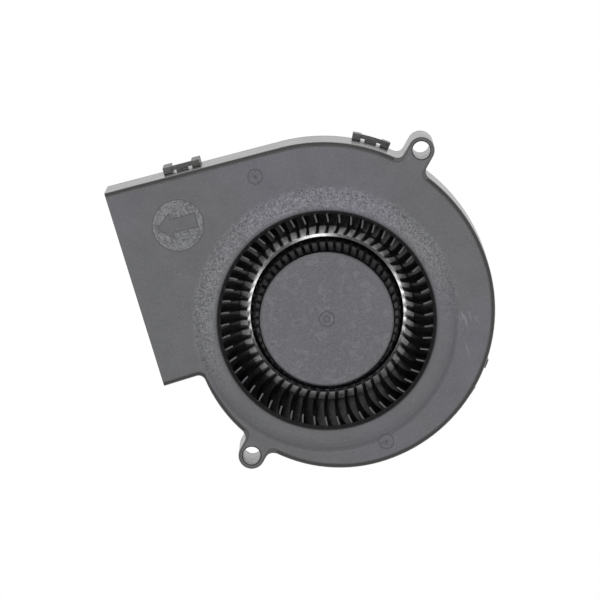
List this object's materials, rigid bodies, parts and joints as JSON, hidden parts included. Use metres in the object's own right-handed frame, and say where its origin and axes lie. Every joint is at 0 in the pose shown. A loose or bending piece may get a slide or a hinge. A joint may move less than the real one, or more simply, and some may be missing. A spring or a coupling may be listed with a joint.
{
  "type": "centrifugal blower fan",
  "caption": "Flat centrifugal blower fan: scroll housing in two snap-fitted halves, forward-curved impeller on an outer-rotor dc motor, round intake, side outlet.",
  "frame": {"origin": "on the fan axis, at the rear face of the housing", "axes": "+Z along the fan axis, out of the intake; the outlet faces -X; +Y towards the straight top wall"},
  "size_m": [0.0968, 0.0973, 0.033],
  "materials": {
    "housing_plastic": "fine moulded grain",
    "impeller_plastic": "smooth moulded",
    "label_film": "plain film",
    "bearing_steel": "ground",
    "brass": "turned",
    "yoke_steel": "drawn, zinc plated",
    "magnet": "bonded ferrite",
    "lamination": "stacked silicon steel",
    "insulator": "natural nylon",
    "copper": "enamelled wire",
    "board": "solder mask",
    "component": "moulded epoxy",
    "can": "drawn can"
  },
  "bodies": {
    "housing": {"front_housing": "housing_plastic", "rear_cover": "housing_plastic", "rear_label": "label_film", "bearing_tube": "brass", "lower_bearing_outer": "bearing_steel", "lower_bearing_shields": "bearing_steel", "upper_bearing_outer": "bearing_steel", "upper_bearing_shields": "bearing_steel", "stator_core": "lamination", "upper_insulator": "insulator", "lower_insulator": "insulator", "stator_coils": "copper", "circuit_board": "board", "hall_driver": "component", "capacitor": "can", "board_components": "component"},
    "rotor": {"impeller": "impeller_plastic", "rotor_yoke": "yoke_steel", "magnet_ring": "magnet", "shaft_bushing": "brass", "shaft": "bearing_steel", "lower_bearing_inner": "bearing_steel", "upper_bearing_inner": "bearing_steel", "retaining_clip": "bearing_steel", "clip_washer": "bearing_steel", "preload_spring": "bearing_steel"},
    "ball_sets": {"lower_bearing_balls": "bearing_steel", "lower_bearing_cage": "brass", "upper_bearing_balls": "bearing_steel", "upper_bearing_cage": "brass"}
  },
  "joints": [
    {"name": "impeller_spin", "type": "hinge", "parent": "housing", "child": "rotor", "pos_m": [0, 0, 0.016], "axis": [0, 0, 1], "continuous": true},
    {"name": "ball_orbit", "type": "hinge", "parent": "housing", "child": "ball_sets", "pos_m": [0, 0, 0.01], "axis": [0, 0, 1], "continuous": true}
  ],
  "couplings": [
    {"joint": "ball_orbit", "follows": "impeller_spin", "ratio": 0.356}
  ]
}
